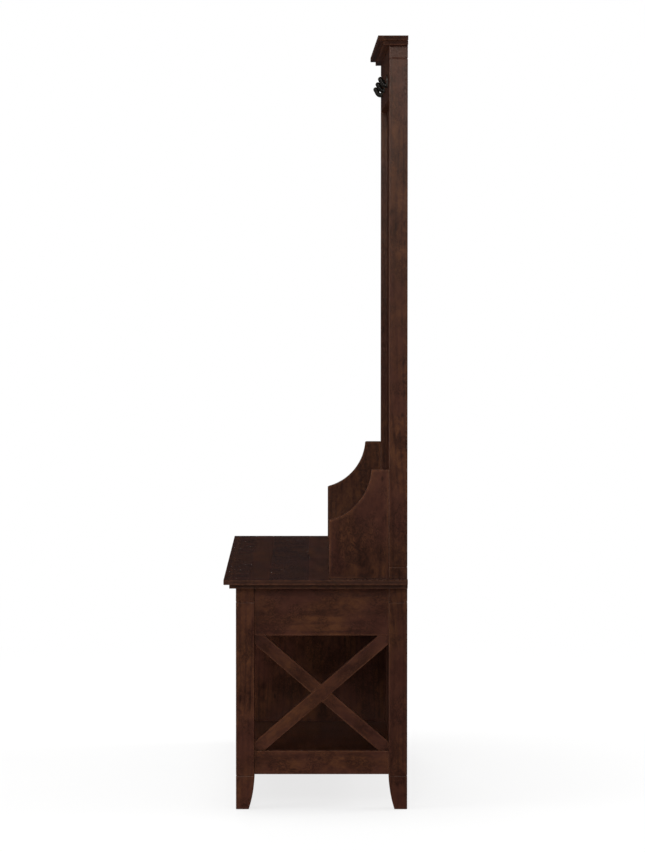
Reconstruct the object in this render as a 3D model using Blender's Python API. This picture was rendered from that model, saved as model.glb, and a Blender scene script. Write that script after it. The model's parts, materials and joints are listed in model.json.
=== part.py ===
"""A hall tree: a bench with two open cubbies, and a tall panelled back with coat hooks.

Metres, +Z up. The front faces -Y, and the origin is on the floor under the middle of the seat.
Left and right are as a person facing the front sees them, so right is +X.
"""

import math

import bmesh
import bpy
from mathutils import Vector

# Overall sizes
TOP_WIDTH = 1.008  # the seat and the crown, end to end
TOP_DEPTH = 0.398  # the seat, front to back
TOTAL_HEIGHT = 1.676
SEAT_HEIGHT = 0.5037

# Fits
GAP = 0.0003  # between pieces that touch
MARGIN = 0.001  # how far a bore starts outside its surface

# Seat and crown, both a thin board on a set-back lower board
BOARD = 0.0104
LOWER_BOARD = 0.0088
LIP = 0.0120  # front strip of the upper board
STEP_BACK = 0.0122  # lower board behind the upper one, at the front and the ends
END_OVERHANG = 0.0360  # past the legs and the posts
SEAT_OVERHANG = 0.0260  # in front of the front legs
CROWN_OVERHANG = 0.0248  # in front of the posts

# Legs and posts
LEG = 0.0400
FOOT_HEIGHT = 0.0760
FOOT_TAPER = 0.0120
FOOT_STEPS = 6
GROOVE_HEIGHT = 0.0036
GROOVE_DEPTH = 0.0010
FOOT_GROOVE_DROP = 0.0022  # from the top of the foot's curve
LEG_GROOVE_DROP = 0.0320  # from the underside of the seat
POST_GROOVE_RISE = 0.0257  # from the seat
POST_GROOVE_DROP = 0.0280  # from the underside of the crown
PANEL_SLOT = 0.0080  # depth of the slots in the posts

# Bench rails, shelf and panels
RAIL = 0.0180
RAIL_SETBACK = 0.0030
TOP_RAIL_HEIGHT = 0.1048
BOTTOM_RAIL_RISE = 0.0766
BOTTOM_RAIL_HEIGHT = 0.0514
SHELF = 0.0150
SHELF_DROP = 0.0050  # below the top edge of the bottom rails
CLEAT = 0.0150
DIVIDER = 0.0150
PANEL = 0.0120
BENCH_PANEL_SETBACK = 0.0030  # behind the front faces of the rear legs
CENTER_FOOT_THICKNESS = 0.0160
CENTER_FOOT_DEPTH = 0.0388
CENTER_FOOT_Y = 0.0252

# X braces in the ends of the bench
BRACE = 0.0120
BRACE_WIDTH = 0.0285
BRACE_SETBACK = 0.0030  # behind the face of the rails

# Back of the hall tree
HUTCH_RAIL = 0.0147
HOOK_RAIL_HEIGHT = 0.1120
LOWER_RAIL_HEIGHT = 0.0600

# Wings on the seat
WING = 0.0180
WING_DEPTH = 0.1290
WING_HEIGHT = 0.2356
WING_SETBACK = 0.0020  # inside the outer faces of the posts
SCOOP_RADIUS = 0.1207
SCOOP_AHEAD = 0.0289  # centre of the scoop, in front of the wing
SCOOP_ABOVE = 0.0072  # and above its top
SCOOP_STEPS = 18

# Hooks
HOOK_SPACING = 0.2940
HOOK_DROP = 0.0790  # from the underside of the crown to the root of the arm
HOOK_SCREW_RISES = (0.0120, 0.0200)  # from the root of the arm
PLATE = 0.0022
PLATE_WIDTH = 0.0200
PLATE_BELOW = 0.0070
PLATE_ABOVE = 0.0245
PLATE_STEPS = 10
ARM_REACH = 0.0042  # straight part of the arm, from the rail
ARM_BEND = 0.0075
ARM_ANGLE = math.radians(62)
ARM_RISE = 0.0110
ARM_ROOT_RADIUS = 0.0054
ARM_TIP_RADIUS = 0.0057

# Fasteners
DOWEL_RADIUS = 0.0050
DOWEL_BITE = 0.0180  # into the leg and into the post
MOULDING_BITE = 0.0065  # into the lower board of the crown
SCREW_RADIUS = 0.0017
SCREW_HEAD = 0.0036
SCREW_HEAD_HEIGHT = 0.0021
WING_SCREW_BITE = 0.0280
HOOK_SCREW_HEAD = 0.0026
HOOK_SCREW_BITE = 0.0110  # into the hook rail
PIN_RADIUS = 0.0020
PIN_BITE = 0.0200  # into each half brace
GLIDE_RADIUS = 0.0070
GLIDE_RECESS = 0.0020
GLIDE_PROUD = 0.0006
GLIDE_PIN = 0.0140

# Planes worked out from the sizes above
HALF_WIDTH = TOP_WIDTH / 2
BACK = TOP_DEPTH / 2
FRONT = -BACK
LEG_OUT = HALF_WIDTH - END_OVERHANG
LEG_IN = LEG_OUT - LEG
LEG_FRONT = FRONT + SEAT_OVERHANG
REAR_FACE = BACK - LEG  # front faces of the rear legs and the posts
FOOT = GLIDE_PROUD  # the feet stand this high, on their glides
BOARDS = BOARD + GAP + LOWER_BOARD
SEAT_UNDER = SEAT_HEIGHT - BOARDS
CROWN_UNDER = TOTAL_HEIGHT - BOARDS
RAIL_OUT = LEG_OUT - RAIL_SETBACK
RAIL_IN = RAIL_OUT - RAIL
FRONT_RAIL_Y = (LEG_FRONT + RAIL_SETBACK, LEG_FRONT + RAIL_SETBACK + RAIL)
SIDE_Y = (LEG_FRONT + LEG + GAP, REAR_FACE - GAP)
TOP_RAIL_Z = (SEAT_UNDER - TOP_RAIL_HEIGHT, SEAT_UNDER - GAP)
BOTTOM_RAIL_Z = (BOTTOM_RAIL_RISE, BOTTOM_RAIL_RISE + BOTTOM_RAIL_HEIGHT)
BENCH_PANEL_Y = (REAR_FACE + BENCH_PANEL_SETBACK, REAR_FACE + BENCH_PANEL_SETBACK + PANEL)
REAR_RAIL_Y = (BENCH_PANEL_Y[1] + GAP, BENCH_PANEL_Y[1] + GAP + RAIL)
SHELF_TOP = BOTTOM_RAIL_Z[1] - SHELF_DROP
SHELF_UNDER = SHELF_TOP - SHELF
SHELF_Y = (FRONT_RAIL_Y[1] + GAP, BENCH_PANEL_Y[0] - GAP)
HUTCH_RAIL_Y = (REAR_FACE + GAP, REAR_FACE + GAP + HUTCH_RAIL)
HUTCH_PANEL_Y = (HUTCH_RAIL_Y[1] + GAP, HUTCH_RAIL_Y[1] + GAP + PANEL)
HUTCH_Z = (SEAT_HEIGHT + GAP, CROWN_UNDER - GAP)
HOOK_RAIL_Z = (CROWN_UNDER - HOOK_RAIL_HEIGHT, HUTCH_Z[1])
LOWER_RAIL_Z = (HUTCH_Z[0], SEAT_HEIGHT + LOWER_RAIL_HEIGHT)
WING_OUT = LEG_OUT - WING_SETBACK
WING_MIDDLE = WING_OUT - WING / 2
WING_Y = (REAR_FACE - GAP - WING_DEPTH, REAR_FACE - GAP)
POST_MIDDLE = (LEG_OUT - LEG / 2, BACK - LEG / 2)
HOOK_Z = CROWN_UNDER - HOOK_DROP

SIDES = (("left", -1), ("right", 1))
UP = Vector((0, 0, 1))
BACKWARD = Vector((0, 1, 0))

FINISHES = {
    "cherry": ((0.095, 0.040, 0.024, 1), 0.50, 0.0),
    "cherry_back": ((0.070, 0.030, 0.019, 1), 0.60, 0.0),
    "beech": ((0.55, 0.38, 0.22, 1), 0.65, 0.0),
    "bronze": ((0.035, 0.026, 0.020, 1), 0.38, 0.85),
    "zinc": ((0.55, 0.55, 0.53, 1), 0.35, 1.0),
    "glide": ((0.20, 0.19, 0.18, 1), 0.55, 0.0),
}


def clear_scene():
    for item in list(bpy.data.objects):
        bpy.data.objects.remove(item)


def finish_of(node, finish):
    """A material of the piece's own."""
    colour, roughness, metallic = FINISHES[finish]
    material = bpy.data.materials.new(f"{finish}_{node}")
    material.use_nodes = True
    shader = material.node_tree.nodes["Principled BSDF"]
    shader.inputs["Base Color"].default_value = colour
    shader.inputs["Roughness"].default_value = roughness
    shader.inputs["Metallic"].default_value = metallic
    material.diffuse_color = colour
    return material


def mesh_object(name, bm, smooth=False):
    bmesh.ops.recalc_face_normals(bm, faces=bm.faces)
    mesh = bpy.data.meshes.new(name)
    bm.to_mesh(mesh)
    bm.free()
    if smooth:
        mesh.shade_smooth()
        mesh.set_sharp_from_angle(angle=math.radians(35))
    item = bpy.data.objects.new(name, mesh)
    bpy.context.scene.collection.objects.link(item)
    return item


def piece(name, bm, finish, smooth=False):
    item = mesh_object(name, bm, smooth)
    item.data.materials.append(finish_of(name, finish))
    return item


def tool(name, bm):
    """A shape that only cuts or joins, and isn't a piece."""
    item = mesh_object(name, bm)
    item.hide_render = True
    item.display_type = "WIRE"
    return item


def combine(item, other, operation):
    modifier = item.modifiers.new(f"{operation.lower()}_{other.name}", "BOOLEAN")
    modifier.operation = operation
    modifier.solver = "EXACT"
    modifier.object = other


def bridge(bm, rings):
    """A closed body through rings of equal numbers of points."""
    rings = [[bm.verts.new(point) for point in ring] for ring in rings]
    count = len(rings[0])
    for low, high in zip(rings, rings[1:]):
        for i in range(count):
            j = (i + 1) % count
            bm.faces.new((low[i], low[j], high[j], high[i]))
    bm.faces.new(rings[0][::-1])
    bm.faces.new(rings[-1])


def prism(bm, outline, axis, low, high):
    """An outline swept along an axis. Its points hold the other two coordinates, in X, Y, Z order."""
    place = {
        "X": lambda at, p: (at, p[0], p[1]),
        "Y": lambda at, p: (p[0], at, p[1]),
        "Z": lambda at, p: (p[0], p[1], at),
    }[axis]
    bridge(bm, [[place(at, point) for point in outline] for at in (low, high)])


def board(name, x, y, z, finish="cherry"):
    """A plain board between three pairs of planes."""
    bm = bmesh.new()
    outline = [(x[0], y[0]), (x[1], y[0]), (x[1], y[1]), (x[0], y[1])]
    prism(bm, outline, "Z", *z)
    return piece(name, bm, finish)


def shaped_board(name, outline, axis, span, finish="cherry"):
    bm = bmesh.new()
    prism(bm, outline, axis, *span)
    return piece(name, bm, finish)


def on_side(sign, inner, outer):
    """The X span, low to high, of what lies between two distances from the middle on one side."""
    return tuple(sorted((sign * inner, sign * outer)))


def groove(z):
    """Levels of a V groove: (height, inset all round, inset of the inner faces)."""
    half = GROOVE_HEIGHT / 2
    return [(z - half, 0, 0), (z, GROOVE_DEPTH, 0), (z + half, 0, 0)]


def square_post(name, x, y, levels, inward):
    """A square post through its levels. inward gives the directions of its inner faces, in X and Y."""
    rings = []
    for z, inset, taper in levels:
        low = [span[0] + inset + (taper if way < 0 else 0) for span, way in zip((x, y), inward)]
        high = [span[1] - inset - (taper if way > 0 else 0) for span, way in zip((x, y), inward)]
        corners = ((low[0], low[1]), (high[0], low[1]), (high[0], high[1]), (low[0], high[1]))
        rings.append([(*corner, z) for corner in corners])
    bm = bmesh.new()
    bridge(bm, rings)
    return piece(name, bm, "cherry")


def turned(bm, point, direction, profile, sides):
    """A turned body: its profile holds (distance along the direction, radius)."""
    turn = direction.to_track_quat("Z", "Y")
    rings = []
    for distance, radius in profile:
        ring = []
        for i in range(sides):
            angle = math.tau * i / sides
            offset = Vector((radius * math.cos(angle), radius * math.sin(angle), distance))
            ring.append(point + turn @ offset)
        rings.append(ring)
    bridge(bm, rings)


def dowel(length, radius=DOWEL_RADIUS):
    edge = radius / 5
    return [(0, radius - edge), (edge, radius), (length - edge, radius), (length, radius - edge)]


def sunk_screw(length):
    """A flat-head screw, its head level with the surface."""
    return [
        (0, SCREW_HEAD),
        (SCREW_HEAD_HEIGHT, SCREW_RADIUS),
        (length - 2 * SCREW_RADIUS, SCREW_RADIUS),
        (length, SCREW_RADIUS / 5),
    ]


def proud_screw(length, head):
    """A screw whose domed head stands on the surface."""
    height = head / 2
    return [
        (-GAP - height, head / 2),
        (-GAP - height * 0.6, head * 0.88),
        (-GAP, head),
        (-GAP, SCREW_RADIUS),
        (0, SCREW_RADIUS),
        (length - 2 * SCREW_RADIUS, SCREW_RADIUS),
        (length, SCREW_RADIUS / 5),
    ]


def glide():
    """A round glide with a pin, its face on the floor."""
    return [
        (0, GLIDE_RADIUS - GLIDE_PROUD),
        (GLIDE_PROUD, GLIDE_RADIUS),
        (GLIDE_RECESS, GLIDE_RADIUS),
        (GLIDE_RECESS, PIN_RADIUS),
        (GLIDE_PIN, PIN_RADIUS),
    ]


def glide_bore(profile):
    """Clearance round a glide, open at the sole."""
    return [(-MARGIN, GLIDE_RADIUS + GAP), *[(d + GAP, r + GAP) for d, r in profile[2:]]]


def blind_bore(profile):
    """Clearance round a body that is inside wood all the way."""
    radius = max(r for _, r in profile) + GAP
    return [(-GAP, radius), (profile[-1][0] + GAP, radius)]


def open_bore(profile):
    """Clearance round the part of a body that goes in, open at the surface."""
    inside = [(d + GAP, r + GAP) for d, r in profile if d >= 0]
    return [(-MARGIN, inside[0][1]), *inside]


def fix(sites, profile, finish, through, bore=open_bore, sides=14):
    """Equal fasteners, each named with its point and direction, and their bores in what they join."""
    holes = bmesh.new()
    for name, (point, direction) in sites.items():
        body = bmesh.new()
        turned(body, Vector(point), direction, profile, sides)
        piece(name, body, finish, smooth=True)
        turned(holes, Vector(point), direction, bore(profile), sides)
    cutter = tool(f"bores_{min(sites)}", holes)
    for item in through:
        combine(item, cutter, "DIFFERENCE")


def middle(span):
    return (span[0] + span[1]) / 2


def legs():
    """Four legs with feet that curve in on their inner faces, the front pair first."""
    foot = []
    for i in range(FOOT_STEPS + 1):
        share = i / FOOT_STEPS
        foot.append((FOOT + share * (FOOT_HEIGHT - FOOT), 0, FOOT_TAPER * (1 - share) ** 2))
    low_groove = FOOT_HEIGHT - FOOT_GROOVE_DROP
    below = [level for level in foot if level[0] < low_groove - GROOVE_HEIGHT / 2]
    levels = [
        *below,
        *groove(low_groove),
        *groove(SEAT_UNDER - LEG_GROOVE_DROP),
        (SEAT_UNDER - GAP, 0, 0),
    ]
    made = []
    rows = (("front", (LEG_FRONT, LEG_FRONT + LEG), 1), ("rear", (REAR_FACE, BACK), -1))
    for row, y, inward_y in rows:
        for side, sign in SIDES:
            x = on_side(sign, LEG_IN, LEG_OUT)
            made.append(square_post(f"{row}_leg_{side}", x, y, levels, (-sign, inward_y)))
    return made


def bench_rails():
    """Top and bottom rails between the legs, all round."""
    heights = (("top", TOP_RAIL_Z), ("bottom", BOTTOM_RAIL_Z))
    across = (-LEG_IN + GAP, LEG_IN - GAP)
    for height, z in heights:
        for side, sign in SIDES:
            board(f"side_{height}_rail_{side}", on_side(sign, RAIL_IN, RAIL_OUT), SIDE_Y, z)
        board(f"front_{height}_rail", across, FRONT_RAIL_Y, z)
        board(f"rear_{height}_rail", across, REAR_RAIL_Y, z)


def braces():
    """An X in each end of the bench: one whole brace, and two halves pinned through its middle."""
    y0, y1 = SIDE_Y[0], SIDE_Y[1]
    z0, z1 = BOTTOM_RAIL_Z[1] + GAP, TOP_RAIL_Z[0] - GAP
    run, rise = y1 - y0, z1 - z0
    length = math.hypot(run, rise)
    half = BRACE_WIDTH / 2
    along, up = half * length / rise, half * length / run  # where an edge meets the opening
    center_y, center_z = (y0 + y1) / 2, (z0 + z1) / 2

    def butt(edge):
        """A corner of the half brace's end, on the edge of the whole one."""
        reach = half + GAP
        y = center_y + (edge * half - reach) * length / (2 * rise)
        return y, center_z + (edge * half + reach) * length / (2 * run)

    whole = [(y0, z0), (y0 + along, z0), (y1, z1 - up), (y1, z1), (y1 - along, z1), (y0, z0 + up)]
    upper = [(y0, z1), (y0, z1 - up), butt(-1), butt(1), (y0 + along, z1)]
    lower = [(2 * center_y - y, 2 * center_z - z) for y, z in upper]
    slope = Vector((0, run, -rise)).normalized()
    pin_half = half + PIN_BITE
    made, sites = [], {}
    for side, sign in SIDES:
        x = on_side(sign, RAIL_OUT - BRACE_SETBACK - BRACE, RAIL_OUT - BRACE_SETBACK)
        for part, outline in (("whole", whole), ("upper", upper), ("lower", lower)):
            made.append(shaped_board(f"{part}_brace_{side}", outline, "X", x))
        center = Vector((middle(x), center_y, center_z))
        sites[f"brace_pin_{side}"] = (center - slope * pin_half, slope)
    fix(sites, dowel(2 * pin_half, PIN_RADIUS), "zinc", made, blind_bore)


def bench_inside():
    """The shelf on its cleats, the divider and the back panel. Gives back the centre foot."""
    notch_x = LEG_IN - GAP
    front_notch, rear_notch = LEG_FRONT + LEG + GAP, REAR_FACE - GAP
    wide = RAIL_IN - GAP
    right_edge = [
        (notch_x, SHELF_Y[0]),
        (notch_x, front_notch),
        (wide, front_notch),
        (wide, rear_notch),
        (notch_x, rear_notch),
        (notch_x, SHELF_Y[1]),
    ]
    outline = right_edge + [(-x, y) for x, y in reversed(right_edge)]
    shaped_board("shelf", outline, "Z", (SHELF_UNDER, SHELF_TOP))

    cleat_z = (SHELF_UNDER - GAP - CLEAT, SHELF_UNDER - GAP)
    for side, sign in SIDES:
        x = on_side(sign, RAIL_IN - GAP - CLEAT, RAIL_IN - GAP)
        board(f"shelf_cleat_{side}", x, SIDE_Y, cleat_z)

    half = DIVIDER / 2
    board("center_divider", (-half, half), SHELF_Y, (SHELF_TOP + GAP, SEAT_UNDER - GAP))
    panel_z = (BOTTOM_RAIL_Z[0], SEAT_UNDER - GAP)
    board("bench_back_panel", (-notch_x, notch_x), BENCH_PANEL_Y, panel_z, "cherry_back")
    half_x, half_y = CENTER_FOOT_THICKNESS / 2, CENTER_FOOT_DEPTH / 2
    y = (CENTER_FOOT_Y - half_y, CENTER_FOOT_Y + half_y)
    return board("center_foot", (-half_x, half_x), y, (FOOT, SHELF_UNDER - GAP))


def top_boards(name, front, z_top):
    """The upper board with its front lip, on a set-back lower board."""
    x = (-HALF_WIDTH, HALF_WIDTH)
    z = (z_top - BOARD, z_top)
    upper = board(f"{name}_board", x, (front + LIP + GAP, BACK), z)
    board(f"{name}_front_lip", x, (front, front + LIP), z)
    x = (-HALF_WIDTH + STEP_BACK, HALF_WIDTH - STEP_BACK)
    z = (z_top - BOARDS, z_top - BOARD - GAP)
    return upper, board(f"{name}_lower_board", x, (front + STEP_BACK, BACK), z)


def posts():
    """The two posts of the back, with a slot for the panel in each inner face."""
    levels = [
        (HUTCH_Z[0], 0, 0),
        *groove(SEAT_HEIGHT + POST_GROOVE_RISE),
        *groove(CROWN_UNDER - POST_GROOVE_DROP),
        (HUTCH_Z[1], 0, 0),
    ]
    slots = bmesh.new()
    y = (HUTCH_PANEL_Y[0] - GAP, HUTCH_PANEL_Y[1] + GAP)
    made = []
    for side, sign in SIDES:
        x = on_side(sign, LEG_IN, LEG_OUT)
        made.append(square_post(f"post_{side}", x, (REAR_FACE, BACK), levels, (-sign, -1)))
        x = on_side(sign, LEG_IN - MARGIN, LEG_IN + PANEL_SLOT)
        outline = [(x[0], y[0]), (x[1], y[0]), (x[1], y[1]), (x[0], y[1])]
        prism(slots, outline, "Z", HUTCH_Z[0] - MARGIN, HUTCH_Z[1] + MARGIN)
    slot_tool = tool("panel_slots", slots)
    for post in made:
        combine(post, slot_tool, "DIFFERENCE")
    return made


def hutch_back():
    """The panel between the posts, and the rails on its face. Gives back the hook rail."""
    tongue = LEG_IN + PANEL_SLOT - GAP
    board("hutch_panel", (-tongue, tongue), HUTCH_PANEL_Y, HUTCH_Z)
    across = (-LEG_IN + GAP, LEG_IN - GAP)
    board("lower_rail", across, HUTCH_RAIL_Y, LOWER_RAIL_Z)
    return board("hook_rail", across, HUTCH_RAIL_Y, HOOK_RAIL_Z)


def wings():
    """Brackets on the seat against the posts, with a scoop cut from the upper front corner."""
    top = SEAT_HEIGHT + GAP + WING_HEIGHT
    scoop_y, scoop_z = WING_Y[0] - SCOOP_AHEAD, top + SCOOP_ABOVE
    start = -math.asin(SCOOP_ABOVE / SCOOP_RADIUS)
    end = -math.acos(SCOOP_AHEAD / SCOOP_RADIUS)
    outline = [(WING_Y[0], SEAT_HEIGHT + GAP), (WING_Y[1], SEAT_HEIGHT + GAP), (WING_Y[1], top)]
    for i in range(SCOOP_STEPS + 1):
        angle = start + (end - start) * i / SCOOP_STEPS
        y = scoop_y + SCOOP_RADIUS * math.cos(angle)
        outline.append((y, scoop_z + SCOOP_RADIUS * math.sin(angle)))
    spans = [(side, on_side(sign, WING_OUT - WING, WING_OUT)) for side, sign in SIDES]
    return [shaped_board(f"wing_{side}", outline, "X", x) for side, x in spans]


def upright_fixings(rear_legs, seat, crown_under, uprights, brackets):
    """Dowels that join the posts to the bench and the crown, and a screw up into each wing."""
    x, y = POST_MIDDLE
    sites = {
        f"post_foot_dowel_{side}": ((sign * x, y, SEAT_UNDER - DOWEL_BITE), UP)
        for side, sign in SIDES
    }
    peg = dowel(BOARDS + 2 * DOWEL_BITE)
    fix(sites, peg, "beech", [*rear_legs, *seat, *uprights], blind_bore)

    sites = {
        f"post_head_dowel_{side}": ((sign * x, y, CROWN_UNDER - DOWEL_BITE), UP)
        for side, sign in SIDES
    }
    peg = dowel(DOWEL_BITE + MOULDING_BITE)
    fix(sites, peg, "beech", [*uprights, crown_under], blind_bore)

    sites = {
        f"wing_screw_{side}": ((sign * WING_MIDDLE, middle(WING_Y), SEAT_UNDER), UP)
        for side, sign in SIDES
    }
    fix(sites, sunk_screw(BOARDS + WING_SCREW_BITE), "zinc", [*seat, *brackets])


def foot_glides(feet, center_foot):
    """Round glides let into the soles of the legs and the centre foot."""
    sole = (LEG - FOOT_TAPER) / 2
    sites = {"foot_glide_center": ((0, CENTER_FOOT_Y, 0), UP)}
    for row, y in (("front", LEG_FRONT + sole), ("rear", BACK - sole)):
        for side, sign in SIDES:
            sites[f"foot_glide_{row}_{side}"] = ((sign * (LEG_OUT - sole), y, 0), UP)
    fix(sites, glide(), "glide", [*feet, center_foot], glide_bore)


def arm_stations():
    """Points of a hook's arm: (distance out from the rail, height over the root, slope, radius)."""
    bend_steps = 5
    stations = [(PLATE / 2, 0, 0), (ARM_REACH, 0, 0)]
    for i in range(1, bend_steps + 1):
        slope = ARM_ANGLE * i / bend_steps
        out = ARM_REACH + ARM_BEND * math.sin(slope)
        stations.append((out, ARM_BEND * (1 - math.cos(slope)), slope))
    out, height, slope = stations[-1]
    tip = (out + ARM_RISE * math.cos(slope), height + ARM_RISE * math.sin(slope), slope)
    stations.append(tip)
    swell = (ARM_TIP_RADIUS - ARM_ROOT_RADIUS) / (len(stations) - 1)
    sized = [(*station, ARM_ROOT_RADIUS + swell * i) for i, station in enumerate(stations)]
    tip_out, tip_height, slope, radius = sized[-1]
    for turn in (0.35, 0.70, 0.92):
        angle = turn * math.pi / 2
        step = radius * math.sin(angle)
        out, height = tip_out + step * math.cos(slope), tip_height + step * math.sin(slope)
        sized.append((out, height, slope, radius * math.cos(angle)))
    return sized


def hooks(rail):
    """Coat hooks in a row, each a rounded plate with one upturned arm, and their screws."""
    face = HUTCH_RAIL_Y[0] - GAP
    half = PLATE_WIDTH / 2
    outline = []
    for center_z, start in ((HOOK_Z + PLATE_ABOVE - half, 0), (HOOK_Z - PLATE_BELOW + half, math.pi)):
        for i in range(PLATE_STEPS + 1):
            angle = start + math.pi * i / PLATE_STEPS
            outline.append((half * math.cos(angle), center_z + half * math.sin(angle)))
    made, sites = [], {}
    for name, place in (("left", -1), ("center", 0), ("right", 1)):
        x = place * HOOK_SPACING
        body = bmesh.new()
        prism(body, [(x + u, z) for u, z in outline], "Y", face - PLATE, face)
        hook = piece(f"coat_hook_{name}", body, "bronze", smooth=True)
        arm = bmesh.new()
        rings = []
        for out, height, slope, radius in arm_stations():
            across = Vector((0, math.sin(slope), math.cos(slope)))
            center = Vector((x, face - out, HOOK_Z + height))
            angles = [math.tau * i / 12 for i in range(12)]
            side = Vector((1, 0, 0))
            rings.append(
                [center + radius * (math.cos(a) * side + math.sin(a) * across) for a in angles]
            )
        bridge(arm, rings)
        combine(hook, tool(f"arm_{name}", arm), "UNION")
        made.append(hook)
        for height, rise in zip(("low", "high"), HOOK_SCREW_RISES):
            place_of_screw = (x, face - PLATE, HOOK_Z + rise)
            sites[f"hook_screw_{name}_{height}"] = (place_of_screw, BACKWARD)
    screw = proud_screw(PLATE + HOOK_SCREW_BITE, HOOK_SCREW_HEAD)
    fix(sites, screw, "bronze", [*made, rail])


def hall_tree():
    clear_scene()
    feet = legs()
    bench_rails()
    braces()
    center_foot = bench_inside()
    seat = top_boards("seat", FRONT, SEAT_HEIGHT)
    crown = top_boards("crown", REAR_FACE - CROWN_OVERHANG, TOTAL_HEIGHT)
    uprights = posts()
    hook_rail = hutch_back()
    upright_fixings(feet[2:], seat, crown[1], uprights, wings())
    foot_glides(feet, center_foot)
    hooks(hook_rail)


hall_tree()
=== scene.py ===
"""Looks of the hall tree: eased and grained cherry boards, cast hooks, a pale floor and soft light.

Metres, +Z up. The front faces -Y, and left and right are as a person facing the front sees them.
"""

import json
import math
import random

import bmesh
import bpy
from mathutils import Euler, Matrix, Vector

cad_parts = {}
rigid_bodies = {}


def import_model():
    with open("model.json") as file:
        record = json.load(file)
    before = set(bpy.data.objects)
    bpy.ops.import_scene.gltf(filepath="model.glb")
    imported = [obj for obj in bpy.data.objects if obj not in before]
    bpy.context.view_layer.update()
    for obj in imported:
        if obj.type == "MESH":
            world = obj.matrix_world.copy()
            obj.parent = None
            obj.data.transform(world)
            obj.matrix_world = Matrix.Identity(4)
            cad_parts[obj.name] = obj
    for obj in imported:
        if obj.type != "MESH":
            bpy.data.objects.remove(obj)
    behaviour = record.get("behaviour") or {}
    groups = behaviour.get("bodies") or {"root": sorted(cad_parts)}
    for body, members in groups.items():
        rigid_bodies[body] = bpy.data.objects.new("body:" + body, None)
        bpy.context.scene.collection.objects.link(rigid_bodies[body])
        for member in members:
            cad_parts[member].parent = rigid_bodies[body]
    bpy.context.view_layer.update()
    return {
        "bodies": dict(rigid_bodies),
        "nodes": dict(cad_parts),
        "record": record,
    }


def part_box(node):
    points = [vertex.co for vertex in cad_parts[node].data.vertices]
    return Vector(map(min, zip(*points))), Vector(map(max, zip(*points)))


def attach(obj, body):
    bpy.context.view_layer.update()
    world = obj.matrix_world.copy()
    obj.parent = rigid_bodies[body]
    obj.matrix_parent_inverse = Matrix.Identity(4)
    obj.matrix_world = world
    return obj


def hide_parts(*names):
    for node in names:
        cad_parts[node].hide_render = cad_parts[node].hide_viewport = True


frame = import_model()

BODY = next(iter(frame["bodies"]))
SLOT_OF = {part["node"]: part["material_slot"] for part in frame["record"]["subparts"]}

X, Y, Z = Vector((1, 0, 0)), Vector((0, 1, 0)), Vector((0, 0, 1))
SIDES = (("left", -1), ("right", 1))

# Easing of the edges
EASE = 0.0008
THIN_EASE = 0.0005  # thin boards
WING_EASE = 0.0010
SOFT_EASE = 0.0018  # under the seat and the crown
NOSE = 0.0028  # corners at the ends of a wing's scoop
EASE_STEPS = 3
SOFT_STEPS = 5
BORDER = 0.0030  # how far the rub of an edge fades into a face
SHARP = math.radians(35)
POST_SHARP = math.radians(24)
NEAR = 1e-5  # points this near each other are level

# Legs and posts
CORNER_STEPS = 4
POST_EASE = 0.0011
SOLE = ((0, 0.0009), (0.0004, 0.0002))  # rises and insets of its eased edge
SOLE_TOP = 0.0010
FOOT_TAPER = 0.0120
FOOT_HEIGHT = 0.0760
FOOT_STEPS = 14
GROOVE_HEIGHT = 0.0036
GROOVE_DEPTH = 0.0010
GROOVE_HALF = ((-0.62, 0, 0.1), (-0.50, 0.06, 0.5), (-0.34, 0.30, 0.3), (-0.08, 1.0, 0))
FOOT_GROOVE_DROP = 0.0022
LEG_GROOVE_DROP = 0.0320
POST_GROOVE_RISE = 0.0257
POST_GROOVE_DROP = 0.0280
SLOT_DEPTH = 0.0080
SLOT_PLAY = 0.0003
STAVE = 0.0430  # width of the strips of the seat

# Hooks
PLATE = 0.0022
PLATE_EASE = 0.0008
PLATE_BACK_EASE = 0.0004
PLATE_STEPS = 16
ARM_ROOT_RISE = 0.0070  # from the bottom of the plate
ARM_REACH = 0.0042
ARM_BEND = 0.0075
ARM_ANGLE = math.radians(62)
ARM_RISE = 0.0110
ARM_ROOT_RADIUS = 0.0054
ARM_TIP_RADIUS = 0.0057
ARM_STEPS = 10
ARM_SIDES = 20
TIP_STEPS = (0.2, 0.4, 0.6, 0.8, 0.95)
TIP_FULLNESS = 0.92
SKIN = 0.00042  # size of the cells that a casting's skin is made from
SKIN_ROUNDS = 3
SKIN_RUB = 7  # how fast the rub rises with the bulge of the skin
SKIN_RUB_FROM = 0.15

# Screws, in shares of the head's radius where they aren't sizes
SCREW_SIDES = 24
SHANK = 0.0017
HEAD_DOME = ((0.35, 0), (0.70, 0.12), (0.90, 0.34), (1.0, 0.72), (0.97, 1.0))
RECESS_ARM = 0.62
RECESS_HALF = 0.11
RECESS_DEPTH = 0.30
RECESS_FOOT = 0.45
RECESS_LEAD = 0.0005  # how far its cutter starts in front of the head

# Cherry, from its darkest lines to its lightest figure
DEEP = (0.0120, 0.0034, 0.0020)
BROWN = (0.0380, 0.0122, 0.0064)
AMBER = (0.0680, 0.0235, 0.0092)
ROSE = (0.0700, 0.0215, 0.0150)
# The lightest colour: rubbed edges, and also a painted highlight along them
RUBBED_AND_HIGHLIT = (0.0950, 0.0360, 0.0170)
HAZE = (1.0, 0.80, 0.68, 1.0)  # the tint of its sheen
WOOD_SHEEN = 0.28
WOOD_ROUGH = 0.31

# Cells of cherry's figure per metre, along the grain and across it
WANDER = (1.6, 9, 9)
BROAD = (11, 20, 20)
MOTTLE = (44, 66, 66)
PATCH = (8, 15, 15)
FIBRE = (30, 520, 520)
PORE = (150, 2600, 2600)
GUM = (62, 96, 96)
SPECK = (30, 55, 55)
SWEEP = (0, 0.045, 0.045)  # how far the grain wanders

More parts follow.
